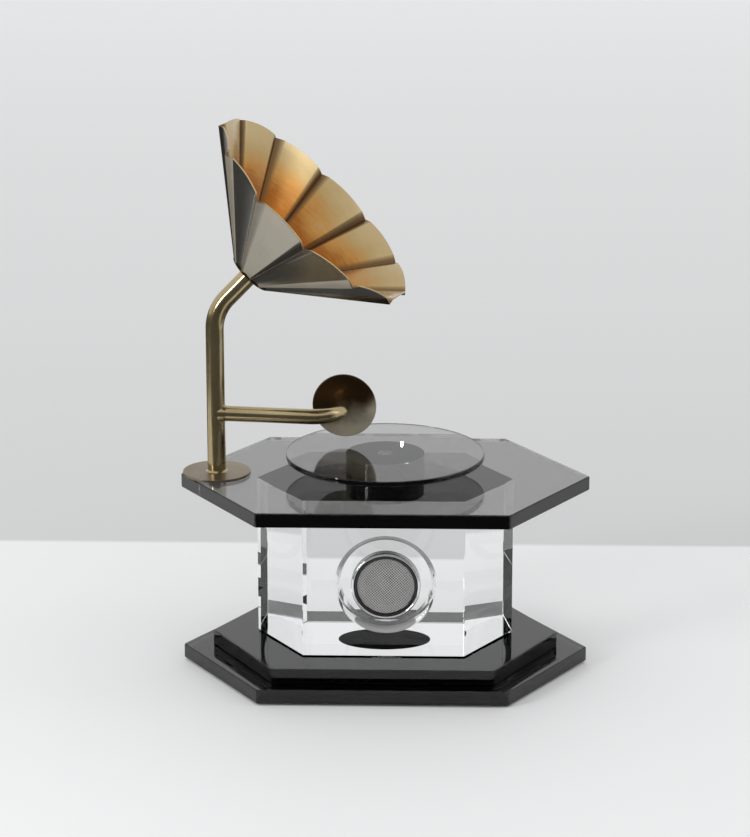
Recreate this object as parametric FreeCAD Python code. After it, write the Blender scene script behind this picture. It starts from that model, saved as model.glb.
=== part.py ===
"""Horn loudspeaker shaped like a small gramophone.

A twelve-panel brass horn on a bent pole stands over smoked glass plates and a clear
crystal block. The block holds a round speaker that pulls out to be charged.
Units are millimetres. Z is up, the front faces -Y, and the origin is the underside centre.
"""
import math
import os

import FreeCAD
import Part

V = FreeCAD.Vector

# Glass stack: half width at the front and back edges, half depth, half width at the points
PLATE_W, PLATE_D, PLATE_TIP = 80.0, 82.0, 133.0
STEP_W, STEP_D, STEP_TIP = 71.0, 71.0, 113.5
BLOCK_W, BLOCK_D, BLOCK_TIP = 52.0, 48.0, 84.0
PAD_INSET = 9.0
EDGE_CHAMFER = 0.7

# Heights of the stack
PAD_TOP = 1.0
LOWER_TOP = 10.8
STEP_TOP = 20.8
BLOCK_PAD_T, BLOCK_PAD_R = 0.8, 30.0
BLOCK_BOTTOM = STEP_TOP + BLOCK_PAD_T
BLOCK_TOP = 119.6
PLATE_TOP = 129.0

# Record and hub
RECORD_R, RECORD_Z0, RECORD_Z1 = 64.5, 141.2, 144.7
HUB_R, HUB_Z0 = 25.5, 129.5
SPINDLE_R, BUSH_IN, BUSH_OUT = 2.5, 2.8, 4.9

# Horn stand, built with the pole on the Z axis and the arm along +X, then turned and moved
POLE_X, STAND_YAW = -109.5, -6.4
POLE_R, POLE_BORE = 6.0, 5.1
FLANGE_R, FLANGE_Z0, FLANGE_Z1 = 22.0, 129.55, 131.1
POLE_CORNER_Z, POLE_BEND_R, HORN_TILT, POLE_END = 238.3, 30.0, 46.4, 32.7
STUD_R, STUD_HOLE_R = 3.0, 3.3
ARM_R, ARM_BORE, ARM_Z = 5.0, 4.0, 170.0
ARM_REACH, ARM_BEND_R, ARM_END_Y = 79.8, 19.0, 27.5
DISC_R, DISC_T = 21.0, 1.6

# Horn bell, measured along its own axis from the pole's end
PANELS, HORN_TWIST = 12, 6.6
APEX_H, SHELL_SHIFT = -11.0, 1.4
RIDGE_SLOPE, EDGE_SLOPE, MID_SLOPE = 1.133, 1.065, 1.028
PLEAT_HALF = 3.4
PANEL_START = 2.6
RIM_BALL_H, RIM_BALL_R = -6.65, 104.5

# Speaker recess and the pull-out speaker, whose own Z axis runs into the block from its front
SPEAKER_X, SPEAKER_Z, POD_FRONT = 1.5, 70.3, -52.0
RECESS_R, RECESS_DEPTH, MOUTH_BEVEL = 29.3, 12.0, 3.6
SEAT_R, SEAT_DEPTH = 17.3, 15.0
POCKET_R, POCKET_DEPTH = 12.8, 33.0
HEAD_R, NECK_R, TAIL_R, WALL = 22.2, 16.9, 12.0, 0.9
HEAD_END, NECK_END, TAIL_END = 7.5, 18.7, 36.4
GRILLE_R = 18.2
SCREW_R = 9.2


def save(node, shape):
    """Write one named piece."""
    shape.exportStep(os.path.join("parts", node + ".step"))


def disc(r, z0, z1, x=0.0, y=0.0):
    """Solid cylinder standing on the XY plane."""
    return Part.makeCylinder(r, z1 - z0, V(x, y, z0))


def ring(outer, inner, z0, z1):
    """Flat washer shape."""
    return disc(outer, z0, z1).cut(disc(inner, z0 - 1, z1 + 1))


def turned(points):
    """Revolve a closed (radius, height) outline about Z."""
    corners = [V(r, 0, z) for r, z in points]
    face = Part.Face(Part.makePolygon(corners + corners[:1]))
    return face.revolve(V(0, 0, 0), V(0, 0, 1), 360)


def hexagon(w, d, tip, z0, z1):
    """Long hexagonal prism with points at -X and +X."""
    outline = [(tip, 0), (w, d), (-w, d), (-tip, 0), (-w, -d), (w, -d)]
    corners = [V(x, y, z0) for x, y in outline]
    face = Part.Face(Part.makePolygon(corners + corners[:1]))
    return face.extrude(V(0, 0, z1 - z0))


def bevelled(shape, size):
    """Chamfer every edge of a prism."""
    return shape.makeChamfer(size, shape.Edges)


def stand_place(shape):
    """Turn a stand piece to its rest direction and move it onto the pole's axis."""
    moved = shape.copy()
    moved.rotate(V(0, 0, 0), V(0, 0, 1), STAND_YAW)
    moved.translate(V(POLE_X, 0, 0))
    return moved


def pod_place(shape):
    """Lay a speaker piece down so that its Z axis points into the block."""
    moved = shape.copy()
    moved.rotate(V(0, 0, 0), V(1, 0, 0), -90)
    moved.translate(V(SPEAKER_X, POD_FRONT, SPEAKER_Z))
    return moved


def horn_place(shape):
    """Tip a piece built about Z over onto the horn's axis at the pole's end."""
    tilt = math.radians(HORN_TILT)
    moved = shape.copy()
    moved.rotate(V(0, 0, 0), V(0, 1, 0), 90 - HORN_TILT)
    end_x = POLE_END * math.cos(tilt)
    end_z = POLE_CORNER_Z + POLE_END * math.sin(tilt)
    moved.translate(V(end_x, 0, end_z))
    return stand_place(moved)


def swept_tube(path, start, heading, outer, inner):
    """Round tube along a path of lines and arcs."""
    skin = Part.Wire(Part.makeCircle(outer, start, heading))
    core = Part.Wire(Part.makeCircle(inner, start, heading))
    solid = path.makePipeShell([skin], True, False)
    return solid.cut(path.makePipeShell([core], True, False))


def make_glass_stack():
    """Foot pad, three smoked plates and the crystal block with its stepped recess."""
    pad_outline = (PLATE_W - PAD_INSET, PLATE_D - PAD_INSET, PLATE_TIP - 1.5 * PAD_INSET)
    save("base_pad", hexagon(*pad_outline, 0, PAD_TOP))
    lower = hexagon(PLATE_W, PLATE_D, PLATE_TIP, PAD_TOP, LOWER_TOP)
    save("lower_base_plate", bevelled(lower, EDGE_CHAMFER))
    step = hexagon(STEP_W, STEP_D, STEP_TIP, LOWER_TOP, STEP_TOP)
    save("step_plate", bevelled(step, EDGE_CHAMFER))
    save("block_pad", disc(BLOCK_PAD_R, STEP_TOP, BLOCK_BOTTOM))
    block = bevelled(hexagon(BLOCK_W, BLOCK_D, BLOCK_TIP, BLOCK_BOTTOM, BLOCK_TOP), EDGE_CHAMFER)
    mouth = V(SPEAKER_X, -BLOCK_D - 1, SPEAKER_Z)
    for radius, depth in ((RECESS_R, RECESS_DEPTH), (SEAT_R, SEAT_DEPTH), (POCKET_R, POCKET_DEPTH)):
        block = block.cut(Part.makeCylinder(radius, depth + 1, mouth, V(0, 1, 0)))
    bevel = Part.makeCone(RECESS_R + MOUTH_BEVEL + 1, RECESS_R, MOUTH_BEVEL + 1, mouth, V(0, 1, 0))
    block = block.cut(bevel)
    save("crystal_block", block)
    top = bevelled(hexagon(PLATE_W, PLATE_D, PLATE_TIP, BLOCK_TOP, PLATE_TOP), EDGE_CHAMFER)
    top = top.cut(disc(STUD_HOLE_R, BLOCK_TOP - 1, PLATE_TOP + 1, POLE_X))
    top = top.cut(disc(SPINDLE_R + 0.05, 124.0, PLATE_TOP + 1))
    save("top_plate", top)


def make_turntable():
    """Fixed spindle with its thrust washer, and the turning hub, bush and record."""
    pin = disc(SPINDLE_R, 124.05, 140.6)
    save("spindle_pin", pin.makeChamfer(0.4, [pin.Edges[0]]))
    save("thrust_washer", ring(9.0, SPINDLE_R + 0.3, PLATE_TOP, HUB_Z0 - 0.05))
    hub = turned([
        (BUSH_OUT + 0.05, HUB_Z0), (HUB_R - 0.8, HUB_Z0), (HUB_R, HUB_Z0 + 0.8),
        (HUB_R, RECORD_Z0 - 0.6), (HUB_R - 0.6, RECORD_Z0), (BUSH_OUT + 0.05, RECORD_Z0)])
    save("turntable_hub", hub)
    save("hub_bush", ring(BUSH_OUT, BUSH_IN, HUB_Z0, RECORD_Z0 - 0.05))
    record = turned([
        (0, RECORD_Z0), (RECORD_R - 0.7, RECORD_Z0), (RECORD_R, RECORD_Z0 + 0.7),
        (RECORD_R, RECORD_Z1 - 0.7), (RECORD_R - 0.7, RECORD_Z1), (0, RECORD_Z1)])
    save("record_disc", record)


def pole_path():
    """Centreline of the pole: up, round the bend and out along the horn's axis."""
    tilt = math.radians(HORN_TILT)
    turn = math.radians(90 - HORN_TILT)
    reach = POLE_BEND_R * math.tan(turn / 2)
    heading = V(math.cos(tilt), 0, math.sin(tilt))
    corner = V(0, 0, POLE_CORNER_Z)
    start = V(0, 0, FLANGE_Z1)
    bend_in = V(0, 0, POLE_CORNER_Z - reach)
    bend_out = corner + heading * reach
    half = turn / 2
    middle = V(POLE_BEND_R * (1 - math.cos(half)), 0, bend_in.z + POLE_BEND_R * math.sin(half))
    end = corner + heading * POLE_END
    edges = [
        Part.makeLine(start, bend_in),
        Part.Arc(bend_in, middle, bend_out).toShape(),
        Part.makeLine(bend_out, end)]
    return Part.Wire(edges)


def make_pole():
    """Flange, bent pole, its two end plugs, and the stud, washer and nut below the plate."""
    felt = ring(20.0, 6.5, PLATE_TOP, FLANGE_Z0 - 0.05)
    felt.translate(V(POLE_X, 0, 0))
    save("stand_felt_washer", felt)
    flange = turned([
        (STUD_R + 0.1, FLANGE_Z0), (FLANGE_R - 0.3, FLANGE_Z0), (FLANGE_R, FLANGE_Z0 + 0.3),
        (FLANGE_R, FLANGE_Z1 - 0.4), (FLANGE_R - 0.4, FLANGE_Z1), (STUD_R + 0.1, FLANGE_Z1)])
    save("stand_flange", stand_place(flange))
    tube = swept_tube(pole_path(), V(0, 0, FLANGE_Z1), V(0, 0, 1), POLE_R, POLE_BORE)
    save("stand_pole", stand_place(tube))
    foot = ring(POLE_BORE - 0.1, STUD_R + 0.1, FLANGE_Z1, FLANGE_Z1 + 14)
    save("pole_foot_plug", stand_place(foot))
    save("pole_top_plug", horn_place(ring(POLE_BORE - 0.1, 2.1, -12.0, 0.0)))
    save("stand_stud", stand_place(disc(STUD_R, 112.6, FLANGE_Z1 + 12)))
    save("stand_washer", stand_place(ring(8.0, STUD_R + 0.1, 118.9, 119.55)))
    corners = [V(5.77 * math.cos(math.radians(60 * k)), 5.77 * math.sin(math.radians(60 * k)), 113.9)
               for k in range(6)]
    nut = Part.Face(Part.makePolygon(corners + corners[:1])).extrude(V(0, 0, 5.0))
    save("stand_nut", stand_place(nut.cut(disc(STUD_R + 0.1, 113, 120))))


def make_arm():
    """Side arm that bends back to the round sound-box plate over the record."""
    corner = V(ARM_REACH, 0, ARM_Z)
    bend_in = corner - V(ARM_BEND_R, 0, 0)
    bend_out = corner + V(0, ARM_BEND_R, 0)
    sag = ARM_BEND_R * (1 - math.sqrt(0.5))
    middle = corner + V(-sag, sag, 0)
    end = V(ARM_REACH, ARM_END_Y, ARM_Z)
    path = Part.Wire([
        Part.makeLine(V(0, 0, ARM_Z), bend_in),
        Part.Arc(bend_in, middle, bend_out).toShape(),
        Part.makeLine(bend_out, end)])
    arm = swept_tube(path, V(0, 0, ARM_Z), V(1, 0, 0), ARM_R, ARM_BORE)
    arm = arm.cut(Part.makeCylinder(POLE_R, 60, V(0, 0, ARM_Z - 30)))
    save("tone_arm", stand_place(arm))
    plate = turned([
        (2.1, 0), (DISC_R - 0.3, 0), (DISC_R, 0.3), (DISC_R, DISC_T - 0.3),
        (DISC_R - 0.3, DISC_T), (2.1, DISC_T)])
    plug = ring(ARM_BORE - 0.1, 1.6, -9.0, 0.0)
    screw = disc(1.5, -7.0, DISC_T + 0.1).fuse(disc(3.4, DISC_T, DISC_T + 1.8))
    screw = screw.cut(Part.makeBox(8, 0.8, 1.2, V(-4, -0.4, DISC_T + 0.9)))
    for node, piece in (("sound_box_disc", plate), ("arm_end_plug", plug),
                        ("sound_box_screw", screw)):
        piece.rotate(V(0, 0, 0), V(1, 0, 0), -90)
        piece.translate(end)
        save(node, stand_place(piece))


def polar(slope, angle, height):
    """Point on a generatrix of the bell, from the common apex, with the apex at the origin."""
    turn = math.radians(angle)
    return V(slope * height * math.cos(turn), slope * height * math.sin(turn), height)


def bell_wedge(angle):
    """Solid pyramid under one panel, from the apex, with a pleat at each side."""
    height = 110.0
    spread = 180.0 / PANELS
    outline = [(RIDGE_SLOPE, -spread), (EDGE_SLOPE, PLEAT_HALF - spread), (MID_SLOPE, 0.0),
               (EDGE_SLOPE, spread - PLEAT_HALF), (RIDGE_SLOPE, spread)]
    apex = V(0, 0, 0)
    rim = [V(0, 0, height)] + [polar(s, angle + a, height) for s, a in outline]
    faces = [Part.Face(Part.makePolygon(rim + rim[:1]))]
    for one, two in zip(rim, rim[1:] + rim[:1]):
        faces.append(Part.Face(Part.makePolygon([apex, one, two, apex])))
    return Part.makeSolid(Part.makeShell(faces))


def make_bell():
    """Twelve folded panels, soldered edge to edge on a dished seat that a screw holds."""
    ball = Part.makeSphere(RIM_BALL_R, V(0, 0, RIM_BALL_H))
    below = Part.makeBox(400, 400, 100, V(-200, -200, PANEL_START - 100))
    for k in range(PANELS):
        outer = bell_wedge(HORN_TWIST + 15.0 + 360.0 / PANELS * k)
        inner = outer.copy()
        inner.translate(V(0, 0, SHELL_SHIFT))
        panel = outer.cut(inner)
        panel.translate(V(0, 0, APEX_H))
        panel = panel.common(ball).cut(below)
        save("horn_panel_%02d" % (k + 1), horn_place(panel))
    seat = turned([(2.2, 0), (6.5, 0), (15.4, PANEL_START), (12.9, PANEL_START),
                   (6.6, 1.3), (2.2, 1.3)])
    save("horn_seat", horn_place(seat))
    save("horn_washer", horn_place(ring(5.0, 2.2, 1.3, 2.1)))
    head = turned([(0, 2.1), (3.7, 2.1), (3.7, 3.2), (2.6, 4.2), (0, 4.2)])
    head = head.cut(Part.makeBox(9, 0.9, 1.2, V(-4.5, -0.45, 3.3)))
    save("horn_screw", horn_place(head.fuse(disc(2.0, -10.0, 2.2))))


def make_pod_shell():
    """Stepped polished can with its grip ring, and the bezel, trim ring, grille and gasket."""
    neck_bore = NECK_R - 0.8
    tail_bore = TAIL_R - WALL
    can = turned([
        (20.4, 2.5), (HEAD_R, 2.5), (HEAD_R, HEAD_END - 0.6), (HEAD_R - 0.6, HEAD_END),
        (NECK_R, HEAD_END), (NECK_R, NECK_END), (TAIL_R, NECK_END), (TAIL_R, TAIL_END),
        (tail_bore, TAIL_END), (tail_bore, NECK_END - WALL), (neck_bore, NECK_END - WALL),
        (neck_bore, 6.3), (20.4, 6.3)])
    can = can.fuse(ring(TAIL_R - 0.4, 9.9, 25.0, 29.0))
    for side in (-1, 1):
        post = disc(2.1, 32.9, 34.2, 0, side * SCREW_R).common(disc(TAIL_R - 0.4, 32.9, 34.2))
        can = can.fuse(post).cut(disc(0.8, 32.0, 35.0, 0, side * SCREW_R))
    can = can.cut(ring(TAIL_R + 2, 11.0, 26.0, 28.0))
    save("speaker_can", pod_place(can.removeSplitter()))
    save("pod_grip_ring", pod_place(Part.makeTorus(11.75, 0.7, V(0, 0, 27.0))))
    save("speaker_bezel", pod_place(turned([
        (20.3, 2.5), (20.3, 0.6), (20.8, 0.1), (21.2, 0), (21.7, 0.2), (HEAD_R, 0.8),
        (HEAD_R, 2.5)])))
    save("speaker_trim", pod_place(turned([
        (18.3, 1.0), (18.7, 0.7), (19.8, 0.7), (20.1, 1.0), (20.1, 3.4), (17.2, 3.4),
        (17.2, 1.9), (18.3, 1.9)])))
    grille = turned([
        (0, 0.5), (6, 0.6), (12, 0.9), (GRILLE_R, 1.35), (GRILLE_R, 1.85), (12, 1.4),
        (6, 1.1), (0, 1.0)])
    holes = [disc(0.9, -1, 3)]
    for circle in range(1, 7):
        for k in range(6 * circle):
            turn = math.radians(60.0 / circle * k + 9 * circle)
            radius = 2.65 * circle
            holes.append(disc(0.9, -1, 3, radius * math.cos(turn), radius * math.sin(turn)))
    save("speaker_grille", pod_place(grille.cut(Part.makeCompound(holes))))
    save("grille_gasket", pod_place(ring(20.0, 15.6, 3.4, 4.2)))


def arch(middle, radius, base):
    """Points of a half circle bulging towards the front."""
    points = []
    for k in range(9):
        turn = math.pi * k / 8
        points.append((middle - radius * math.cos(turn), base - radius * math.sin(turn)))
    return points


def make_driver():
    """Moving-coil driver: basket, magnet and yoke, and the cone, roll, cap and coil that move."""
    basket = turned([
        (15.4, 4.2), (20.0, 4.2), (20.0, 5.2), (16.2, 5.2), (12.0, 9.4), (12.0, 10.2),
        (6.4, 10.2), (6.4, 9.4), (11.2, 9.4), (15.4, 5.4)])
    for k in range(6):
        window = Part.makeBox(12, 5, 2.2, V(10, -2.5, 6.4))
        window.rotate(V(0, 0, 0), V(0, 0, 1), 60 * k)
        basket = basket.cut(window)
    save("driver_basket", pod_place(basket))
    save("driver_front_plate", pod_place(ring(11.5, 5.7, 10.2, 11.8)))
    save("driver_magnet", pod_place(ring(12.6, 7.2, 11.8, 14.6)))
    save("driver_yoke", pod_place(disc(11.5, 14.6, 16.2).fuse(disc(4.6, 10.6, 14.7))))
    cone = turned([(4.95, 8.2), (4.95, 7.7), (12.0, 4.6), (12.4, 4.8), (12.4, 5.1), (5.45, 8.2)])
    save("driver_cone", pod_place(cone))
    save("voice_coil", pod_place(ring(5.35, 4.95, 8.2, 12.6)))
    roll = arch(13.75, 1.3, 4.8) + arch(13.75, 0.95, 4.8)[::-1]
    save("surround_roll", pod_place(turned(roll)))
    save("dust_cap", pod_place(turned([
        (0, 6.0), (2.4, 6.3), (4.0, 7.0), (4.9, 7.9), (4.9, 8.2), (4.5, 8.2), (3.8, 7.4),
        (2.2, 6.7), (0, 6.4)])))


def make_electronics():
    """Cell, circuit board, charging socket, lamp, button and the screwed rear cover."""
    save("battery_cell", pod_place(turned([
        (0, 19.0), (8.6, 19.0), (9.0, 19.4), (9.0, 30.6), (8.6, 31.0), (2.4, 31.0),
        (2.4, 31.6), (0, 31.6)])))
    save("circuit_board", pod_place(disc(10.7, 32.0, 32.8)))
    socket = Part.makeBox(3.2, 9.0, 3.5, V(-1.6, -4.5, 32.8))
    socket = socket.makeFillet(1.2, [e for e in socket.Edges if abs(e.tangentAt(0).z) > 0.9])
    save("usb_port", pod_place(socket.cut(Part.makeBox(1.6, 7.4, 3.0, V(-0.8, -3.7, 34.0)))))
    cover = disc(10.9, 34.2, 35.2).cut(Part.makeBox(3.8, 9.6, 4, V(-1.9, -4.8, 33)))
    cover = cover.cut(disc(2.0, 33, 36, -6.8, 0)).cut(disc(1.0, 33, 36, 6.8, 0))
    screws = []
    for at in ((0, -SCREW_R), (0, SCREW_R)):
        cover = cover.cut(disc(0.9, 33, 36, *at))
        screw = disc(0.7, 33.0, 35.3, *at).fuse(disc(1.5, 35.2, 35.9, *at))
        screws.append(screw.cut(Part.makeBox(4, 0.4, 0.5, V(at[0] - 2, at[1] - 0.2, 35.6))))
    save("rear_cover", pod_place(cover))
    save("cover_screws", pod_place(Part.makeCompound(screws)))
    button = turned([
        (0, 33.3), (2.4, 33.3), (2.4, 33.9), (1.7, 33.9), (1.7, 35.7), (1.4, 36.0), (0, 36.0)])
    save("power_button", pod_place(button.translated(V(-6.8, 0, 0))))
    lamp = turned([(0, 32.8), (0.8, 32.8), (0.8, 35.0), (0.5, 35.3), (0, 35.4)])
    save("status_led", pod_place(lamp.translated(V(6.8, 0, 0))))


os.makedirs("parts", exist_ok=True)
make_glass_stack()
make_turntable()
make_pole()
make_arm()
make_bell()
make_pod_shell()
make_driver()
make_electronics()
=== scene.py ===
import math

import bpy
from mathutils import Matrix, Vector


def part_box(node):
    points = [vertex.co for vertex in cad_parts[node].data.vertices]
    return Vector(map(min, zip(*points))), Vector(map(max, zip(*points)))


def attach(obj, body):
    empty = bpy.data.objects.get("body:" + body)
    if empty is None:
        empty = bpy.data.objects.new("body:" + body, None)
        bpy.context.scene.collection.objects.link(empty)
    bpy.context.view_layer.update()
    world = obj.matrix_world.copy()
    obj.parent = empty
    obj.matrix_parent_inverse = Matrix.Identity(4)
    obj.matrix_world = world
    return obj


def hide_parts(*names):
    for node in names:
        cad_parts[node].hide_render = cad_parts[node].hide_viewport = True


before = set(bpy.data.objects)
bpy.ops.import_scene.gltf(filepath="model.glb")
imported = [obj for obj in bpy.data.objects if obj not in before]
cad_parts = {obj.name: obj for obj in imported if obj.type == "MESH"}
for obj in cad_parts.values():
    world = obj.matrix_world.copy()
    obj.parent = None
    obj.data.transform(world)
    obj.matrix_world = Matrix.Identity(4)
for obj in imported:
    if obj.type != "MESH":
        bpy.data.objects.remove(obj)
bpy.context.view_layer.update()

# Camera: looks a little down on the front, from two metres away, so the plates' tops show
# as thin hexagons and the horn's mouth is seen from the side.
MM = 0.001
AIM = Vector((-6.6, 0.0, 167.0)) * MM
CAMERA_AWAY, CAMERA_TURN, CAMERA_RISE = 1.9715, math.radians(1.41), math.radians(16.71)
LENS_LENGTH, FARTHEST_SEEN = 131.2, 50
back = Vector((
    math.sin(CAMERA_TURN) * math.cos(CAMERA_RISE),
    -math.cos(CAMERA_TURN) * math.cos(CAMERA_RISE),
    math.sin(CAMERA_RISE)))
bpy.ops.object.select_all(action="DESELECT")
bpy.ops.object.camera_add(location=AIM + back * CAMERA_AWAY)
camera = bpy.context.object
camera.name = "camera"
camera.rotation_mode = "QUATERNION"
camera.rotation_quaternion = (-back).to_track_quat("-Z", "Y")
camera.data.lens = LENS_LENGTH
camera.data.clip_end = FARTHEST_SEEN
bpy.context.scene.camera = camera


# Floor and light. A pale table runs back to a pale wall far behind. The room in front is dim,
# which gives the polished edges and the brass something dark to mirror.
class Sum:
    """A shader socket with arithmetic. Numbers and other sockets can stand on either side."""

    def __init__(self, tree, socket):
        self.tree = tree
        self.socket = socket

    def maths(self, operation, one, two):
        node = self.tree.nodes.new("ShaderNodeMath")
        node.operation = operation
        for entry, value in zip(node.inputs, (one, two)):
            feed(self.tree, entry, value)
        return Sum(self.tree, node.outputs[0])

    def __add__(self, other):
        return self.maths("ADD", self, other)

    def __sub__(self, other):
        return self.maths("SUBTRACT", self, other)

    def __rsub__(self, other):
        return self.maths("SUBTRACT", other, self)

    def __gt__(self, other):
        return self.maths("GREATER_THAN", self, other)

    def __lt__(self, other):
        return self.maths("LESS_THAN", self, other)

    def __mul__(self, other):
        return self.maths("MULTIPLY", self, other)

    def __abs__(self):
        return self.maths("ABSOLUTE", self, 0)

    __radd__ = __add__
    __rmul__ = __mul__


def feed(tree, entry, value):
    """Link a socket, or set its value."""
    if isinstance(value, Sum):
        tree.links.new(value.socket, entry)
    else:
        entry.default_value = value


class Graph:
    """A node tree, and the ways of adding nodes to it."""

    def __init__(self, tree):
        self.tree = tree

    def add(self, kind, settings=(), stops=(), out=0, **values):
        """Any node: its settings and ramp stops first, then its sockets by name."""
        node = self.tree.nodes.new(kind)
        for name, value in dict(settings).items():
            setattr(node, name, value)
        for place, (at, colour) in enumerate(stops):
            ramp = node.color_ramp.elements
            stop = ramp[place] if place < 2 else ramp.new(at)
            stop.position = at
            stop.color = (*colour, 1) if len(colour) == 3 else colour
        entries = {entry.identifier: entry for entry in node.inputs}
        for name, value in values.items():
            feed(self.tree, entries.get(name) or node.inputs[name.replace("_", " ")], value)
        return Sum(self.tree, node.outputs[out])

    def part(self, axis, vector):
        """One of a vector's three numbers."""
        return self.add("ShaderNodeSeparateXYZ", out=axis, Vector=vector)

    def fade(self, value, start, end):
        """Smooth rise from 0 where the value is start to 1 where it is end."""
        return self.add("ShaderNodeMapRange", {"interpolation_type": "SMOOTHSTEP"}, Value=value,
                        From_Min=start, From_Max=end)

    def is_mirrored(self):
        """1 for a ray that a polished surface has thrown back, and 0 for any other."""
        return (self.add("ShaderNodeLightPath", out="Is Glossy Ray")
                * self.add("ShaderNodeLightPath", out="Is Reflection Ray"))


class Finish(Graph):
    """One material. Keywords set the Principled shader's own sockets."""

    def __init__(self, name, **fixed):
        self.material = bpy.data.materials.new(name)
        self.material.use_nodes = True
        super().__init__(self.material.node_tree)
        self.shader = self.tree.nodes["Principled BSDF"]
        self.spots = self.add("ShaderNodeTexCoord", out="Object")
        self.set(**fixed)

    def set(self, **values):
        for name, value in values.items():
            feed(self.tree, self.shader.inputs[name.replace("_", " ")], value)

    def send(self, entry, value):
        """Link to the material's own output."""
        feed(self.tree, self.tree.nodes["Material Output"].inputs[entry], value)

    def noise(self, scale, detail=3.0):
        """Cloudy variation over the piece, from 0 to 1."""
        return self.add("ShaderNodeTexNoise", Vector=self.spots, Scale=scale, Detail=detail)

    def drawn_out(self, sheet, stretch):
        """Streaks along a sheet's own map, from 0 to 1."""
        streaks = self.add("ShaderNodeMapping", Vector=sheet, Scale=stretch)
        return self.add("ShaderNodeTexNoise", Vector=streaks, Scale=1.0, Detail=4.0)

    def blend(self, factor, one, two):
        """Colour between one and two."""
        return self.add("ShaderNodeValToRGB", stops=((0.0, one), (1.0, two)), Fac=factor)

    def mix(self, factor, one, two):
        """Colour between two that may vary over the piece themselves."""
        return self.add("ShaderNodeMix", {"data_type": "RGBA"}, out=2, Factor_Float=factor,
                        A_Color=one, B_Color=two)

    def bump(self, height, distance):
        """Fine relief on the surface, in metres."""
        self.set(Normal=self.add("ShaderNodeBump", Height=height, Distance=distance))


TABLE_BACK, BORDER, TABLE_FRONT, WALL_REACH, FLOOR_REACH = 0.236, 0.004, -0.3, 2.8, 9.0
MIRRORED_BACK, MIRRORED_MORE, MIRRORED_LEFT, MIRRORED_SIDE = 0.06, 0.2, 0.21, 0.72
bpy.ops.mesh.primitive_plane_add(size=2 * FLOOR_REACH, location=(0, 0, 0))
floor = bpy.context.object
floor.name = "floor"
table = Finish("pale_table", Roughness=0.6)
depth = table.part("Y", table.spots)
# Painted shade on the wall: darkest where it meets the table and lighter further back, which the camera
# sees as higher up.
wall_with_painted_shade = table.add("ShaderNodeValToRGB", stops=(
    (0.0, (0.67, 0.67, 0.67)), (1.0, (0.95, 0.95, 0.95)), (0.28, (0.77, 0.77, 0.77))),
    Fac=table.add("ShaderNodeMapRange", Value=depth, From_Min=TABLE_BACK, From_Max=WALL_REACH))
table_paint = table.blend(table.noise(1.6, 2.0), (0.88, 0.88, 0.88), (0.92, 0.92, 0.92))
table.set(Base_Color=table.mix(table.fade(depth, TABLE_BACK - BORDER, TABLE_BACK + BORDER),
                               table_paint, wall_with_painted_shade))
# Mirrored rays pass through the floor, except near the object, and see the room below.
beside = abs(table.part("X", table.spots))
near_back = MIRRORED_BACK + (beside > MIRRORED_LEFT) * MIRRORED_MORE
near = (depth > TABLE_FRONT) * (depth - near_back < 0) * (beside < MIRRORED_SIDE)
table.send("Surface", table.add(
    "ShaderNodeMixShader", Fac=table.is_mirrored() * (1 - near),
    Shader=Sum(table.tree, table.shader.outputs[0]),
    Shader_001=table.add("ShaderNodeBsdfTransparent")))
floor.data.materials.append(table.material)

ROOM_LIGHT, MOST_DIMMED = 0.84, 0.76
world = bpy.data.worlds.new("studio")
bpy.context.scene.world = world
world.use_nodes = True
room = Graph(world.node_tree)
direction = room.add("ShaderNodeTexCoord", out="Generated")
aside, ahead, above = [room.part(axis, direction) for axis in "XYZ"]
in_front = room.fade(ahead, -0.1, -0.55) * room.fade(above, 0.62, 0.3)
low_left = room.fade(aside, -0.4, -0.65) * (above < 0)
low_right = room.fade(aside, 0.4, 0.65) * (above < -0.2)
below = room.fade(above, -0.3, -0.42)
dim = 1 - (1 - in_front) * (1 - low_left) * (1 - low_right) * (1 - below)
backdrop = world.node_tree.nodes["Background"]
feed(room.tree, backdrop.inputs["Strength"], ROOM_LIGHT - dim * room.is_mirrored() * MOST_DIMMED)
backdrop.inputs["Color"].default_value = (0.985, 0.99, 1.0, 1)


def softbox(name, place, size, power, aim=(0, 0, 0.15)):
    """A rectangular lamp aimed at the object."""
    bpy.ops.object.select_all(action="DESELECT")
    bpy.ops.object.light_add(type="AREA", location=place)
    lamp = bpy.context.object
    lamp.name = name
    lamp.data.shape = "RECTANGLE"
    lamp.data.size, lamp.data.size_y = size
    lamp.data.energy = power
    lamp.rotation_mode = "QUATERNION"
    lamp.rotation_quaternion = (Vector(aim) - Vector(place)).to_track_quat("-Z", "Y")


softbox("left_light", (-1.35, -0.95, 0.68), (0.2, 0.7), 9, (0, 0, 0.3))
softbox("right_light", (1.5, -0.1, 1.1), (0.5, 1.0), 1.6)
softbox("record_glint", (-0.024, 2.312, 0.851), (0.004, 0.010), 0.0035, (0, 0, 0.14))
bpy.context.scene.view_settings.view_transform = "Standard"


# Foam pads: a sheet of black foam stuck under the bottom plate, set in from its edge, and a
# round one between the step plate and the block, which shows through the glass.
def show(node, finish):
    """Give a CAD piece its finish."""
    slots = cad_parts[node].data.materials
    if len(slots) == 0:
        slots.append(finish.material)
    for place in range(len(slots)):
        slots[place] = finish.material


foam = Finish("black_foam", Roughness=0.95)
foam.set(Base_Color=foam.blend(foam.noise(900, 2), (0.012, 0.012, 0.012), (0.05, 0.05, 0.05)))
foam.bump(foam.noise(1500, 2), 0.0002)
show("base_pad", foam)
show("block_pad", foam)


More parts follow.
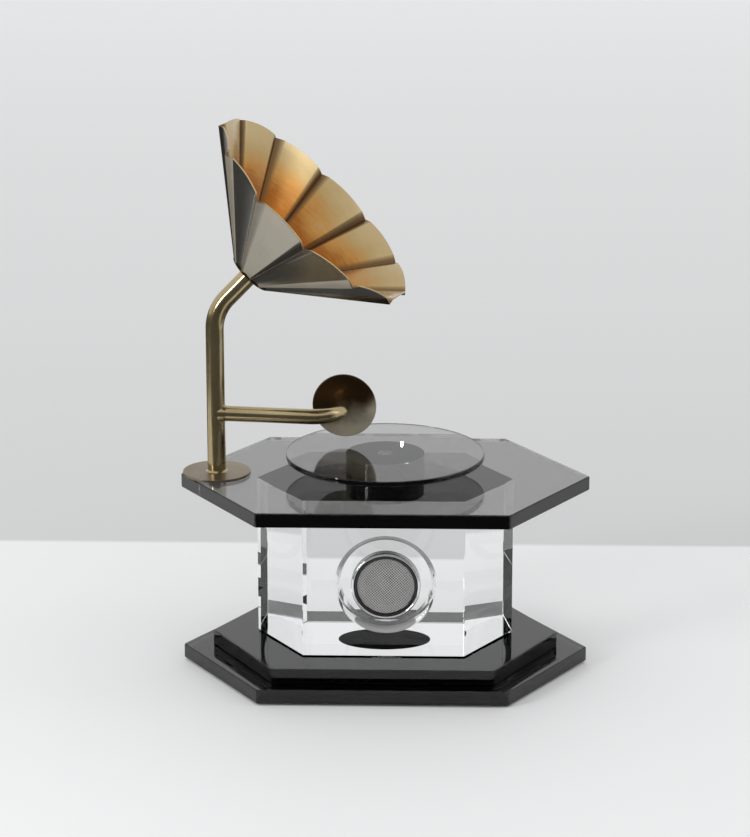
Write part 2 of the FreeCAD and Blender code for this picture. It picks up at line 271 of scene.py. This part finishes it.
# Smoked plates: three long hexagons of grey glass about 10 mm thick, polished on every face, with
# narrow ground chamfers. The grey is in the glass, so the edges look black.
def tinted(name, density):
    """Polished glass that takes up light on its way through."""
    glass = Finish(name, Transmission_Weight=1.0, IOR=1.5, Base_Color=(1, 1, 1, 1))
    smear = glass.noise(14, 4)
    glass.set(Roughness=smear * smear * 0.012)
    glass.send("Volume", glass.add("ShaderNodeVolumeAbsorption", Color=(0.02, 0.015, 0.0, 1),
                                   Density=density))
    return glass


show("top_plate", tinted("smoked_glass_top", 85.0))
dark_glass = tinted("smoked_glass_base", 260.0)
show("lower_base_plate", dark_glass)
show("step_plate", dark_glass)


# Crystal block: clear optical glass, polished, glued between the plates. A wide shallow recess
# in its front has a rounded mouth, and steps down to the seat and pocket of the speaker.
def apply_all(piece):
    """Apply a piece's modifiers in turn."""
    bpy.context.view_layer.objects.active = piece
    for modifier in [m.name for m in piece.modifiers]:
        bpy.ops.object.modifier_apply(modifier=modifier)


def soften(piece, width, segments=3, angle=35):
    """Round the sharp edges and keep the flats flat in the shading."""
    bpy.context.view_layer.objects.active = piece
    edge = piece.modifiers.new("edge", "BEVEL")
    edge.width, edge.segments = width, segments
    edge.limit_method, edge.angle_limit = "ANGLE", math.radians(angle)
    apply_all(piece)
    even_shading(piece, angle)


def even_shading(piece, angle=35):
    """Smooth the curves by angle, led by the large flats."""
    bpy.ops.object.select_all(action="DESELECT")
    piece.select_set(True)
    bpy.context.view_layer.objects.active = piece
    bpy.ops.object.shade_smooth_by_angle(angle=math.radians(angle))
    led = piece.modifiers.new("flats", "WEIGHTED_NORMAL")
    led.keep_sharp = True
    apply_all(piece)


def finish_piece(piece, body, slot, finishes, *nodes):
    """Finishes, body and the CAD pieces that this one stands for. The slot is not used."""
    for finish in finishes:
        piece.data.materials.append(finish.material)
    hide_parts(*nodes)
    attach(piece, body)


BLOCK_HALF_FRONT, BLOCK_CHAMFER, RECESS_R, MOUTH_BEVEL = 0.052, 0.0003, 0.0293, 0.0036
RECESS, SEAT, POCKET = (RECESS_R, 0.012), (0.0173, 0.015), (0.0128, 0.033)
OVERSHOOT, NEAR_ENOUGH, FACING_OUT = 0.01, 1e-4, 0.995
DARK_FROM, DARK_FULL, PALE_FROM, PALE_FULL = 0.004, 0.014, -0.012, -0.024
block_low, block_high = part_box("crystal_block")
bpy.ops.object.select_all(action="DESELECT")
bpy.ops.mesh.primitive_circle_add(vertices=6, radius=1, fill_type="NGON")
block = bpy.context.object
block.name = "clear_block"
tip, side = block_high.x, block_high.y
corners = ((tip, 0), (BLOCK_HALF_FRONT, side), (-BLOCK_HALF_FRONT, side),
           (-tip, 0), (-BLOCK_HALF_FRONT, -side), (BLOCK_HALF_FRONT, -side))
for corner, place in zip(block.data.vertices, corners):
    corner.co = (*place, block_low.z)
bpy.ops.object.mode_set(mode="EDIT")
bpy.ops.mesh.select_all(action="SELECT")
bpy.ops.mesh.extrude_region_move(
    TRANSFORM_OT_translate={"value": (0, 0, block_high.z - block_low.z)})
bpy.ops.mesh.select_all(action="SELECT")
bpy.ops.mesh.normals_make_consistent(inside=False)
bpy.ops.mesh.bevel(offset=BLOCK_CHAMFER, segments=1, affect="EDGES")
bpy.ops.object.mode_set(mode="OBJECT")
pod_axis = sum(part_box("speaker_bezel"), Vector()) / 2
for radius, floor_at in (RECESS, SEAT, POCKET):
    bpy.ops.object.select_all(action="DESELECT")
    bpy.ops.mesh.primitive_cylinder_add(
        vertices=160, radius=radius, depth=floor_at + OVERSHOOT, rotation=(math.pi / 2, 0, 0),
        location=(pod_axis.x, -side + (floor_at - OVERSHOOT) / 2, pod_axis.z))
    drill = bpy.context.object
    cut = block.modifiers.new("drilled", "BOOLEAN")
    cut.operation, cut.object, cut.solver = "DIFFERENCE", drill, "EXACT"
    apply_all(block)
    bpy.data.objects.remove(drill)
bpy.ops.object.select_all(action="DESELECT")
block.select_set(True)
bpy.context.view_layer.objects.active = block
bpy.ops.object.mode_set(mode="EDIT")
bpy.ops.mesh.select_all(action="DESELECT")
bpy.ops.object.mode_set(mode="OBJECT")
for edge in block.data.edges:
    ends = [block.data.vertices[end].co for end in edge.vertices]
    edge.select = all(
        abs(end.y + side) < NEAR_ENOUGH / 10 and abs((end - pod_axis).xz.length - RECESS_R) < NEAR_ENOUGH
        for end in ends)
bpy.ops.object.mode_set(mode="EDIT")
bpy.ops.mesh.select_mode(type="EDGE")
bpy.ops.mesh.bevel(offset=MOUTH_BEVEL, segments=6, profile=0.4, affect="EDGES")
bpy.ops.object.mode_set(mode="OBJECT")
even_shading(block, 28)
CLEAR = (0.985, 0.99, 0.99, 1)
crystal = Finish("crystal", Transmission_Weight=1.0, IOR=1.5, Base_Color=CLEAR)
crystal.set(Roughness=crystal.noise(20, 4) * 0.003)
# The mouth's bevel carries a painted reflection: its upper arc is painted dark grey and its lower arc
# pale, over clear glass, in place of the dark and bright surroundings that it mirrors.
mouth = Finish("crystal_mouth", Transmission_Weight=0.3, IOR=1.5)
mouth_height = mouth.part("Z", mouth.spots)
painted_dark_reflection = mouth.fade(mouth_height, pod_axis.z + DARK_FROM, pod_axis.z + DARK_FULL)
painted_pale_reflection = mouth.fade(mouth_height, pod_axis.z + PALE_FROM, pod_axis.z + PALE_FULL)
mouth.set(Roughness=mouth.noise(40, 4) * 0.05 + 0.03, Base_Color=mouth.blend(
    painted_pale_reflection + mouth.noise(90, 4) * 0.2, (0.07, 0.07, 0.07), (0.8, 0.8, 0.8)))
mouth.send("Surface", mouth.add(
    "ShaderNodeMixShader", Fac=painted_dark_reflection * 0.8 + painted_pale_reflection * 0.6,
    Shader=mouth.add("ShaderNodeBsdfPrincipled", out="BSDF", Transmission_Weight=1.0, IOR=1.5,
                     Base_Color=CLEAR, Roughness=0.002),
    Shader_001=Sum(mouth.tree, mouth.shader.outputs[0])))
finish_piece(block, "base", "crystal", [crystal, mouth], "crystal_block")
for face in block.data.polygons:
    off_axis = (face.center - pod_axis).xz.length
    on_bevel = RECESS_R - NEAR_ENOUGH < off_axis < RECESS_R + MOUTH_BEVEL + NEAR_ENOUGH
    at_mouth = face.center.y < -side + MOUTH_BEVEL + NEAR_ENOUGH
    face.material_index = int(on_bevel and at_mouth and abs(face.normal.y) < FACING_OUT)
block.visible_shadow = False


# Record: a plain disc of grey acrylic 3.5 mm thick with rounded edges, polished all over and
# glued to the hub that turns it.
def turned(name, outline, place=Matrix(), steps=128):
    """Revolve a closed outline of (radius, height) pairs in millimetres about its own axis."""
    bpy.ops.object.select_all(action="DESELECT")
    bpy.ops.mesh.primitive_circle_add(vertices=len(outline), radius=1)
    piece = bpy.context.object
    piece.name = name
    for corner, (radius, height) in zip(piece.data.vertices, outline):
        corner.co = (radius * MM, 0, height * MM)
    bpy.ops.object.mode_set(mode="EDIT")
    bpy.ops.mesh.select_all(action="SELECT")
    bpy.ops.mesh.spin(steps=steps, angle=2 * math.pi, center=(0, 0, 0), axis=(0, 0, 1))
    bpy.ops.mesh.select_all(action="SELECT")
    bpy.ops.mesh.remove_doubles(threshold=1e-6)
    bpy.ops.mesh.normals_make_consistent(inside=False)
    bpy.ops.object.mode_set(mode="OBJECT")
    piece.data.transform(Matrix.Scale(MM, 4) @ place @ Matrix.Scale(1 / MM, 4))
    return piece


record_low, record_high = (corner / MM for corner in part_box("record_disc"))
record = turned("record", [(0, record_low.z), (record_high.x, record_low.z),
                           (record_high.x, record_high.z), (0, record_high.z)], steps=160)
soften(record, 0.7 * MM)
finish_piece(record, "turntable", "frosted_acrylic", [tinted("grey_acrylic", 112.0)], "record_disc")

# Hub: a turned black drum with a bush in its bore, which runs on the steel spindle. Its side is
# glossy. Its top is duller, and is painted a lighter grey than the side as painted light, so that
# it shows faintly through the record that is glued on it.
HUB_BORE_R, HUB_SUNK, TOP_DEPTH, EDGE_ROUND = 4.95, 0.05, 0.3, 0.05
hub_low, hub_high = (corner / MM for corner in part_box("turntable_hub"))
hub_top_z = hub_high.z + HUB_SUNK
hub = turned("hub", [(HUB_BORE_R, hub_low.z), (hub_high.x, hub_low.z), (hub_high.x, hub_top_z),
                     (HUB_BORE_R, hub_top_z)])
soften(hub, EDGE_ROUND * MM)
gloss_black = Finish("hub_black")
hub_side = gloss_black.blend(gloss_black.noise(60), (0.008, 0.008, 0.008), (0.02, 0.02, 0.022))
# Painted light: the top is a lighter grey than the black side, standing in for the light that reaches it
# through the record.
painted_lit_top = gloss_black.blend(gloss_black.noise(60), (0.13, 0.13, 0.13), (0.165, 0.165, 0.165))
on_top = gloss_black.part("Z", gloss_black.spots) > (hub_high.z - TOP_DEPTH) * MM
gloss_black.set(Roughness=on_top * 0.42 + 0.08,
                Base_Color=gloss_black.mix(on_top, hub_side, painted_lit_top))
finish_piece(hub, "turntable", "hub_plastic", [gloss_black], "turntable_hub")


# Pole: a 12 mm brass tube bent once towards the horn, with a fillet of braze at its foot. Dark
# antique lacquer covers the stand, browner where it is thick, over fine brushing.
def brushed(metal, rough):
    """Fine brushing under the lacquer."""
    metal.set(Roughness=metal.noise(160, 3) * 0.12 + rough)
    metal.bump(metal.noise(700, 3), 0.00001)


def lacquered(name, dark, light, rough):
    """Brushed brass, darker where the lacquer is thick."""
    metal = Finish(name, Metallic=1.0)
    metal.set(Base_Color=metal.blend(metal.noise(28, 5), dark, light))
    brushed(metal, rough)
    return metal


POLE_R, POLE_X, CORNER_Z, BEND_R, POLE_LEFT = 6.0, -109.5, 238.3, 30.0, 32.7
TILT, YAW = math.radians(46.4), math.radians(-6.4)
pole_turn = Matrix.Translation((POLE_X, 0, 0)) @ Matrix.Rotation(YAW, 4, "Z")
pole_tip = Vector((POLE_LEFT * math.cos(TILT), 0, CORNER_Z + POLE_LEFT * math.sin(TILT)))
antique = lacquered("antique_brass", (0.24, 0.17, 0.075), (0.62, 0.52, 0.3), 0.12)
antique.set(Coat_Weight=0.25, Metallic=0.95)


def bent_tube(name, route, radius):
    """A round tube along a route of points in millimetres, in the stand's own frame."""
    curve = bpy.data.curves.new(name, "CURVE")
    curve.dimensions = "3D"
    curve.bevel_depth = radius * MM
    curve.bevel_resolution = 10
    curve.use_fill_caps = True
    line = curve.splines.new("POLY")
    line.points.add(len(route) - 1)
    for spot, place in zip(line.points, route):
        spot.co = (*(pole_turn @ Vector(place) * MM), 1)
    piece = bpy.data.objects.new(name, curve)
    bpy.context.scene.collection.objects.link(piece)
    bpy.ops.object.select_all(action="DESELECT")
    piece.select_set(True)
    bpy.context.view_layer.objects.active = piece
    bpy.ops.object.convert(target="MESH")
    even_shading(bpy.context.object, 40)
    return bpy.context.object


def bend(centre, start, turn, axis, steps=20):
    """Points of an arc that starts at start and turns about an axis through centre."""
    return [Vector(centre) + Matrix.Rotation(turn * k / steps, 3, axis) @ (
        Vector(start) - Vector(centre)) for k in range(steps + 1)]


def join_to(piece, extra):
    """Make the extra mesh part of the piece."""
    bpy.ops.object.select_all(action="DESELECT")
    extra.select_set(True)
    piece.select_set(True)
    bpy.context.view_layer.objects.active = piece
    bpy.ops.object.join()


lean = math.pi / 2 - TILT
bend_start = CORNER_Z - BEND_R * math.tan(lean / 2)
flange_low, flange_high = (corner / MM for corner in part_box("stand_flange"))
foot_z = flange_high.z
pole = bent_tube("pole", [Vector((0, 0, foot_z))] + bend(
    (BEND_R, 0, bend_start), (0, 0, bend_start), lean, "Y") + [pole_tip], POLE_R)
foot_fillet = turned("foot_fillet", [(5.5, foot_z), (7.1, foot_z), (6.45, foot_z + 0.35),
                                     (6.08, foot_z + 1.0), (5.5, foot_z + 1.2)], pole_turn)
even_shading(foot_fillet, 60)
join_to(pole, foot_fillet)
finish_piece(pole, "horn_stand", "antique_brass", [antique], "stand_pole")

# Side arm: a 10 mm tube brazed to the pole, level, and bent back towards the record's middle.
# A fillet of braze rounds its joint with the pole.
ARM_R, ARM_Z, ARM_REACH, ARM_BEND_R, ARM_END = 5.0, 170.0, 79.8, 19.0, 27.5
arm = bent_tube("side_arm", [Vector((5.4, 0, ARM_Z))] + bend(
    (ARM_REACH - ARM_BEND_R, ARM_BEND_R, ARM_Z), (ARM_REACH - ARM_BEND_R, 0, ARM_Z),
    math.pi / 2, "Z") + [Vector((ARM_REACH, ARM_END, ARM_Z))], ARM_R)
arm_fillet = turned("arm_fillet", [(4.5, 2.0), (6.4, 2.0), (5.9, 4.9), (5.3, 6.2), (5.04, 7.2),
                                   (4.5, 7.2)], pole_turn @ Matrix.Translation((0, 0, ARM_Z))
                    @ Matrix.Rotation(math.pi / 2, 4, "Y"))
even_shading(arm_fillet, 60)
join_to(arm, arm_fillet)
finish_piece(arm, "horn_stand", "antique_brass", [antique], "tone_arm")

# Foot flange: a turned brass disc at the bottom of the pole. A stud and nut hold it to the top
# plate, with a felt washer between them.
FLANGE_R, STUD_HOLE_R = 22.0, 3.1
foot_brass = lacquered("foot_brass", (0.13, 0.1, 0.065), (0.36, 0.3, 0.2), 0.3)
flange = turned("foot_flange", [
    (STUD_HOLE_R, flange_low.z), (FLANGE_R, flange_low.z), (FLANGE_R, flange_high.z),
    (STUD_HOLE_R, flange_high.z)], pole_turn)
soften(flange, 0.35 * MM)
finish_piece(flange, "horn_stand", "antique_brass", [foot_brass], "stand_flange")

# Sound-box disc: a thin turned disc that a screw holds to the end of the side arm. Its colour is a
# painted reflection: dark brown, turning pale and less metallic towards the lower right.
to_arm_end = pole_turn @ Matrix.Translation((ARM_REACH, ARM_END, ARM_Z)) @ Matrix.Rotation(
    -math.pi / 2, 4, "X")
box_disc = turned("sound_box", [(2.1, 0.3), (20.4, 0.0), (21.0, 0.4), (21.0, 1.6), (2.1, 1.6)],
                  to_arm_end)
soften(box_disc, 0.25 * MM)
disc_brass = Finish("disc_brass")
brushed(disc_brass, 0.26)
from_centre = disc_brass.add("ShaderNodeVectorMath", {"operation": "SUBTRACT"},
                             Vector=disc_brass.spots, Vector_001=to_arm_end @ Vector() * MM)
toward_reflection = disc_brass.add("ShaderNodeVectorMath", {"operation": "DOT_PRODUCT"}, out="Value",
                        Vector=from_centre, Vector_001=(0.5, 0, -0.85))
# Painted reflection: pale and less metallic towards the lower right, dark brown elsewhere.
painted_reflection = disc_brass.fade(toward_reflection + (disc_brass.noise(55, 4) - 0.5) * 0.03, -0.002, 0.016)
disc_brass.set(Base_Color=disc_brass.blend(painted_reflection, (0.085, 0.05, 0.024), (0.52, 0.47, 0.35)),
               Metallic=1 - painted_reflection * 0.5)
finish_piece(box_disc, "horn_stand", "antique_brass", [disc_brass], "sound_box_disc")


# Horn seat and its fixings: a small brass cup at the pole's tip that the panels are soldered to,
# with a screw and washer inside. The cup has the horn's outside finish, greyer and drawn.
def smoothed(node, body, finish):
    """A copy of a CAD piece with its faces joined and its curves shaded smooth."""
    bpy.ops.object.select_all(action="DESELECT")
    piece = bpy.data.objects.new(node + "_finished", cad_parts[node].data.copy())
    bpy.context.scene.collection.objects.link(piece)
    bpy.context.view_layer.objects.active = piece
    piece.select_set(True)
    bpy.ops.object.mode_set(mode="EDIT")
    bpy.ops.mesh.select_all(action="SELECT")
    bpy.ops.mesh.remove_doubles(threshold=MERGE_WITHIN)
    bpy.ops.object.mode_set(mode="OBJECT")
    bpy.ops.mesh.customdata_custom_splitnormals_clear()
    bpy.ops.object.shade_smooth_by_angle(angle=SMOOTH_BELOW)
    piece.data.materials.clear()
    piece.data.materials.append(finish.material)
    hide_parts(node)
    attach(piece, body)


MERGE_WITHIN, SMOOTH_BELOW = 0.00001, math.radians(32)
bell_outside = Finish("bell_outside", Metallic=1.0)
folds = bell_outside.add("ShaderNodeTexCoord", out="UV")
from_fold = abs(bell_outside.part("X", folds) - 0.5)
# Darker towards the pleats, and lighter towards the rim, with drawn streaks and cloudy tone.
toward_pleats = bell_outside.fade(from_fold + (bell_outside.noise(60, 4) - 0.5) * 0.1, 0.38, 0.49)
drawn = bell_outside.drawn_out(folds, (30, 1.2, 1))
grey_brass = bell_outside.blend(
    drawn * 0.5 + bell_outside.part("Y", folds) * 0.3 + bell_outside.noise(30, 5) * 0.35,
    (0.2, 0.18, 0.135), (0.47, 0.43, 0.355))
bell_outside.set(Base_Color=bell_outside.mix(toward_pleats * 0.6, grey_brass, (0.13, 0.11, 0.08, 1)),
                 Roughness=drawn * 0.12 + 0.13)
for node in ("sound_box_screw", "horn_screw", "horn_washer"):
    smoothed(node, "horn_stand", antique)
smoothed("horn_seat", "horn_stand", bell_outside)

# Horn panels: twelve gores of 1 mm sheet brass, each folded up at both sides into a pleat and
# soldered to the next along the pleat's ridge. The rim is cut as a shallow scallop.
PANELS, TWIST, FLAT_SHARE, SHEET = 12, math.radians(6.6), 0.86, 1.0
RIDGE, EDGE, MID, PLEAT = 1.133, 1.065, 1.028, math.radians(3.4)
APEX, START, BALL_AT, BALL_R = -11.0, 2.6, -6.65, 104.5
to_horn = pole_turn @ Matrix.Translation(pole_tip) @ Matrix.Rotation(lean, 4, "Y")
bell_inside = Finish("bell_inside", Metallic=1.0)
sheet = bell_inside.add("ShaderNodeTexCoord", out="UV")
brushing = bell_inside.drawn_out(sheet, (1.5, 38, 1))
# Painted shade: darker and deeper orange towards the throat, with random cloudy tone and brushing
# streaks over it.
tone_and_throat_shade = (bell_inside.part("Y", sheet) + (bell_inside.noise(24, 5) - 0.5) * 0.5
        + (brushing - 0.5) * 0.14)
warm_brass = bell_inside.add("ShaderNodeValToRGB", Fac=tone_and_throat_shade, stops=(
    (0.5, (0.32, 0.11, 0.02)), (1.0, (0.56, 0.43, 0.235)), (0.64, (0.5, 0.25, 0.07)),
    (0.8, (0.49, 0.35, 0.16))))
# Painted shade: the inside turns dark brown in the pleat grooves, which are also rougher.
groove = bell_inside.fade(abs(bell_inside.part("X", sheet) - 0.5), 0.4, 0.47)
bell_inside.set(Base_Color=bell_inside.mix(groove * 0.9, warm_brass, (0.16, 0.09, 0.04, 1)),
                Roughness=brushing * 0.16 + 0.13 + groove * 0.15)


def gore_section(side):
    """Point across a panel at unit height over the apex. Side runs from -1 to 1."""
    half = math.pi / PANELS
    if abs(side) <= FLAT_SHARE:
        angle = side / FLAT_SHARE * (half - PLEAT)
        bow = (EDGE * math.cos(half - PLEAT) - MID) * (1 - (side / FLAT_SHARE) ** 2)
        reach = EDGE * math.cos(half - PLEAT) / math.cos(angle) - bow
        return Vector((reach * math.cos(angle), reach * math.sin(angle)))
    part = (abs(side) - FLAT_SHARE) / (1 - FLAT_SHARE)
    fold = Vector((EDGE * math.cos(half - PLEAT), EDGE * math.sin(half - PLEAT)))
    ridge = Vector((RIDGE * math.cos(half), RIDGE * math.sin(half)))
    spot = fold.lerp(ridge, part)
    return Vector((spot.x, math.copysign(spot.y, side)))


def gore_point(side, along):
    """Point on a panel's outer face in millimetres about the horn's own axis."""
    flat_spot = gore_section(side)
    ray = Vector((flat_spot.x, flat_spot.y, 1.0))
    ball = BALL_AT - APEX
    square = ray.length_squared
    rim = (ball + math.sqrt(ball ** 2 - square * (ball ** 2 - BALL_R ** 2))) / square
    height = (START - APEX) + along * (rim - (START - APEX))
    return ray * height + Vector((0, 0, APEX))


for number in range(PANELS):
    bpy.ops.object.select_all(action="DESELECT")
    bpy.ops.mesh.primitive_grid_add(x_subdivisions=28, y_subdivisions=14, size=2)
    panel = bpy.context.object
    panel.name = "bell_panel_%02d" % (number + 1)
    round_horn = Matrix.Rotation(TWIST + math.pi / PANELS + 2 * math.pi / PANELS * number, 4, "Z")
    place = to_horn @ round_horn
    for corner in panel.data.vertices:
        corner.co = place @ gore_point(corner.co.x, (corner.co.y + 1) / 2) * MM
    outward = place.to_3x3() @ Vector((1, 0, 0))
    if panel.data.polygons[len(panel.data.polygons) // 2].normal.dot(outward) < 0:
        panel.data.flip_normals()
    panel.data.materials.append(bell_outside.material)
    panel.data.materials.append(bell_inside.material)
    wall = panel.modifiers.new("sheet", "SOLIDIFY")
    wall.thickness = SHEET * MM
    wall.offset = -1
    wall.use_even_offset = True
    wall.material_offset = 1
    wall.material_offset_rim = 1
    soften(panel, 0.2 * MM, 1, 50)
    node = "horn_panel_%02d" % (number + 1)
    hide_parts(node)
    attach(panel, "horn_stand")

# Bezel and ring: a bright turned steel bezel and a black ring are the front of the speaker, which
# slides into the block's pocket, where a rubber ring on its tail grips.
to_pod = Matrix.Translation((pod_axis.x / MM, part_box("speaker_bezel")[0].y / MM,
                             pod_axis.z / MM)) @ Matrix.Rotation(-math.pi / 2, 4, "X")
bright = Finish("polished_steel", Metallic=1.0, Base_Color=(0.82, 0.82, 0.83, 1))
bright.set(Roughness=bright.noise(200, 2) * 0.06 + 0.05)
bezel = turned("bezel", [(20.3, 2.5), (20.3, 0.6), (20.8, 0.1), (21.2, 0), (21.7, 0.2),
                         (22.2, 0.8), (22.2, 2.5)], to_pod)
even_shading(bezel, 50)
finish_piece(bezel, "speaker_pod", "chrome_trim", [bright], "speaker_bezel")
trim_black = Finish("trim_black", Roughness=0.2)
trim_black.set(Base_Color=trim_black.blend(trim_black.noise(80), (0.006, 0.006, 0.006),
                                           (0.018, 0.018, 0.018)))
trim = turned("black_ring", [(18.3, 1.0), (18.7, 0.7), (19.8, 0.7), (20.1, 1.0), (20.1, 3.4),
                             (17.2, 3.4), (17.2, 1.9), (18.3, 1.9)], to_pod)
even_shading(trim, 40)
finish_piece(trim, "speaker_pod", "black_trim", [trim_black], "speaker_trim")

# Woven mesh: steel wires laid over and under each other at a slant, domed slightly backwards at
# the edge and clamped behind the black ring.
MESH_R, MESH_PITCH, WIRE_R, DOME, LAY = 18.35, 1.3, 0.28, 0.85, 48
mesh_curve = bpy.data.curves.new("woven_mesh", "CURVE")
mesh_curve.dimensions = "3D"
mesh_curve.bevel_depth = WIRE_R * MM
mesh_curve.bevel_resolution = 0
wires = int(MESH_R / MESH_PITCH)
for way in (0, 1):
    slant = to_pod @ Matrix.Rotation(math.radians(LAY + 90 * way), 4, "Z")
    for wire in range(-wires, wires + 1):
        half = math.sqrt(MESH_R ** 2 - (wire * MESH_PITCH) ** 2)
        steps = math.ceil(half / MESH_PITCH * 2)
        line = mesh_curve.splines.new("POLY")
        line.points.add(2 * steps)
        for number, spot in enumerate(line.points):
            along = max(-half, min(half, (number - steps) * MESH_PITCH / 2))
            dome = DOME + DOME * (along ** 2 + (wire * MESH_PITCH) ** 2) / MESH_R ** 2
            over = (-1) ** (wire + way) * WIRE_R * math.cos(math.pi * along / MESH_PITCH)
            spot.co = (*(slant @ Vector((along, wire * MESH_PITCH, dome - over)) * MM), 1)
mesh = bpy.data.objects.new("woven_mesh", mesh_curve)
bpy.context.scene.collection.objects.link(mesh)
bpy.ops.object.select_all(action="DESELECT")
mesh.select_set(True)
bpy.context.view_layer.objects.active = mesh
bpy.ops.object.convert(target="MESH")
mesh = bpy.context.object
bpy.ops.object.shade_smooth()
wire_steel = Finish("wire_steel", Metallic=1.0)
wire_steel.set(Base_Color=wire_steel.blend(wire_steel.noise(120), (0.85, 0.85, 0.85),
                                           (1.0, 1.0, 1.0)))
wire_steel.set(Roughness=wire_steel.noise(300, 2) * 0.15 + 0.25)
finish_piece(mesh, "speaker_pod", "grille_steel", [wire_steel], "speaker_grille")

# Speaker's inside and the hidden fixings: the satin can, the driver with its paper cone, the
# circuit board, cell and moulded cover, and the spindle, stud, nut, plugs and washers.
satin = Finish("satin_steel", Metallic=1.0)
satin.set(Base_Color=satin.blend(satin.noise(150, 4), (0.2, 0.2, 0.2), (0.32, 0.32, 0.32)))
satin.set(Roughness=satin.noise(250, 2) * 0.1 + 0.2)
turned_steel = Finish("turned_steel", Metallic=1.0, Base_Color=(0.5, 0.5, 0.51, 1))
turned_steel.set(Roughness=turned_steel.noise(300, 2) * 0.1 + 0.25)
cone_paper = Finish("cone_paper", Roughness=0.85)
cone_paper.set(Base_Color=cone_paper.blend(cone_paper.noise(900), (0.02, 0.02, 0.02),
                                           (0.05, 0.05, 0.052)))
ferrite = Finish("ferrite", Roughness=0.6)
ferrite.set(Base_Color=ferrite.blend(ferrite.noise(400), (0.03, 0.03, 0.032),
                                     (0.075, 0.075, 0.08)))
copper_wire = Finish("copper_wire", Metallic=1.0, Roughness=0.3)
windings = copper_wire.add("ShaderNodeTexWave", {"bands_direction": "Y"},
                           Vector=copper_wire.spots, Scale=1600.0, Distortion=0.3)
copper_wire.set(Base_Color=copper_wire.blend(windings, (0.3, 0.09, 0.03), (0.75, 0.32, 0.14)))
board_green = Finish("board_green", Roughness=0.35)
board_green.set(Base_Color=board_green.blend(board_green.noise(700, 1), (0.01, 0.1, 0.04),
                                             (0.02, 0.2, 0.08)))
cell_blue = Finish("cell_blue", Roughness=0.3)
cell_blue.set(Base_Color=cell_blue.blend(cell_blue.noise(60), (0.01, 0.05, 0.2),
                                         (0.02, 0.09, 0.32)))
back_cover = Finish("moulded_black", Roughness=0.55)
back_cover.set(Base_Color=back_cover.blend(back_cover.noise(500), (0.012, 0.012, 0.013),
                                           (0.035, 0.035, 0.036)))
back_cover.bump(back_cover.noise(2500, 2), 0.00002)
lens = Finish("lens", Roughness=0.2)
lens.set(Base_Color=lens.blend(lens.noise(900), (0.1, 0.3, 0.6), (0.3, 0.55, 0.9)))
felt_grey = Finish("felt_grey", Roughness=0.95)
felt_grey.set(Base_Color=felt_grey.blend(felt_grey.noise(1500, 5), (0.01, 0.01, 0.01),
                                           (0.08, 0.08, 0.08)))
felt_grey.bump(felt_grey.noise(3000, 4), 0.0001)
inner_pieces = (
    ("speaker_pod", "chrome_trim", satin, ("speaker_can",)),
    ("power_button_body", "black_trim", trim_black, ("power_button",)),
    ("driver_cone_body", "cone_paper", cone_paper, ("driver_cone", "dust_cap")),
    ("driver_cone_body", "black_foam", foam, ("surround_roll",)),
    ("driver_cone_body", "copper", copper_wire, ("voice_coil",)),
    ("speaker_pod", "black_foam", foam, ("grille_gasket", "pod_grip_ring")),
    ("speaker_pod", "steel", turned_steel, (
        "driver_basket", "driver_front_plate", "driver_yoke", "usb_port", "cover_screws")),
    ("speaker_pod", "ferrite", ferrite, ("driver_magnet",)),
    ("speaker_pod", "board", board_green, ("circuit_board",)),
    ("speaker_pod", "cell_wrap", cell_blue, ("battery_cell",)),
    ("speaker_pod", "cover_plastic", back_cover, ("rear_cover",)),
    ("speaker_pod", "led_lens", lens, ("status_led",)),
    ("turntable", "cover_plastic", gloss_black, ("hub_bush",)),
    ("base", "steel", turned_steel, ("spindle_pin",)),
    ("base", "cover_plastic", back_cover, ("thrust_washer",)),
    ("base", "felt", felt_grey, ("stand_felt_washer",)),
    ("horn_stand", "steel", turned_steel, (
        "pole_foot_plug", "pole_top_plug", "stand_stud", "stand_washer", "stand_nut",
        "arm_end_plug")))
for body, slot, finish, nodes in inner_pieces:
    for node in nodes:
        smoothed(node, body, finish)
